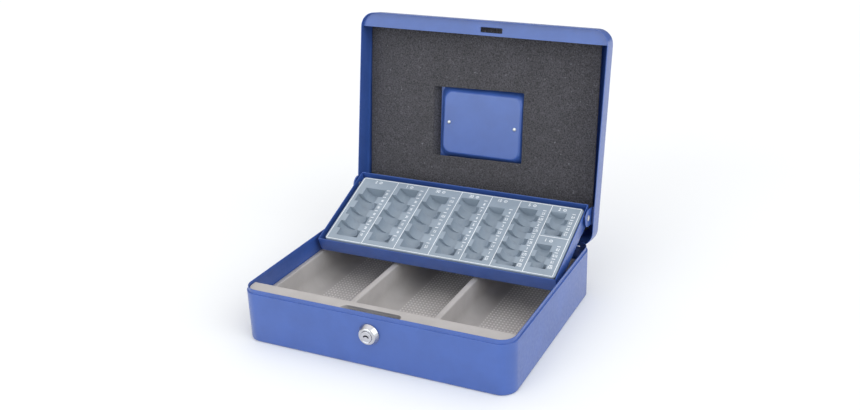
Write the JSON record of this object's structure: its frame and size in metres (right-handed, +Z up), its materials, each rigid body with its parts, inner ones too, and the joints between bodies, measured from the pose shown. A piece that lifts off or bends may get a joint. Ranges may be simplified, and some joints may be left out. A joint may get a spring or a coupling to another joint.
{
  "type": "cash box",
  "caption": "Blue steel cash box standing open, with a round cam lock, a tilting coin tray over divided note compartments and a folding lid handle.",
  "frame": {"origin": "middle of the base's flat underside", "axes": "+Z up out of the base, -Y towards the lock, +X to the right of a person facing the lock"},
  "size_m": [0.3, 0.3173, 0.2893],
  "materials": {
    "blue_paint": "smooth satin powder coat",
    "foam": "fine open-cell foam",
    "insert_plastic": "fine matte moulding",
    "plate_plastic": "fine matte moulding with white print",
    "chrome": "polished plate",
    "zinc_steel": "zinc plate"
  },
  "bodies": {
    "base": {"base_shell": "blue_paint", "hinge_leaf_base": "blue_paint", "hinge_rivets_base": "zinc_steel", "hinge_pin": "zinc_steel", "compartment_insert": "insert_plastic", "lock_housing": "chrome", "lock_nut": "zinc_steel"},
    "lock": {"lock_plug": "chrome", "lock_cam": "zinc_steel", "cam_screw": "zinc_steel"},
    "lid": {"lid_shell": "blue_paint", "latch_plate": "blue_paint", "hinge_leaf_lid": "blue_paint", "hinge_rivets_lid": "zinc_steel", "foam_pad": "foam", "tray_ear_left": "blue_paint", "tray_ear_right": "blue_paint", "handle_saddle_left": "chrome", "handle_saddle_right": "chrome", "handle_rivets": "zinc_steel"},
    "handle": {"handle_bail": "chrome"},
    "tray": {"tray_pan": "blue_paint", "coin_plate": "plate_plastic", "tray_pin_left": "zinc_steel", "tray_pin_right": "zinc_steel", "tray_washer_left": "zinc_steel", "tray_washer_right": "zinc_steel"}
  },
  "joints": [
    {"name": "lid_hinge", "type": "hinge", "parent": "base", "child": "lid", "pos_m": [0, 0.1185, 0.0543], "axis": [1, 0, 0], "range_deg": [0, 99.4]},
    {"name": "tray_tilt", "type": "hinge", "parent": "lid", "child": "tray", "pos_m": [0, 0.11818, 0.08912], "axis": [1, 0, 0], "range_deg": [-121.4, 0]},
    {"name": "handle_swing", "type": "hinge", "parent": "lid", "child": "handle", "pos_m": [0, 0.16722, 0.16493], "axis": [1, 0, 0], "range_deg": [-9.4, 170.6]},
    {"name": "lock_turn", "type": "hinge", "parent": "base", "child": "lock", "pos_m": [0, -0.12, 0.038], "axis": [0, -1, 0], "range_deg": [0, 90]}
  ],
  "couplings": [
    {"joint": "tray_tilt", "follows": "lid_hinge", "ratio": -1.2213}
  ]
}
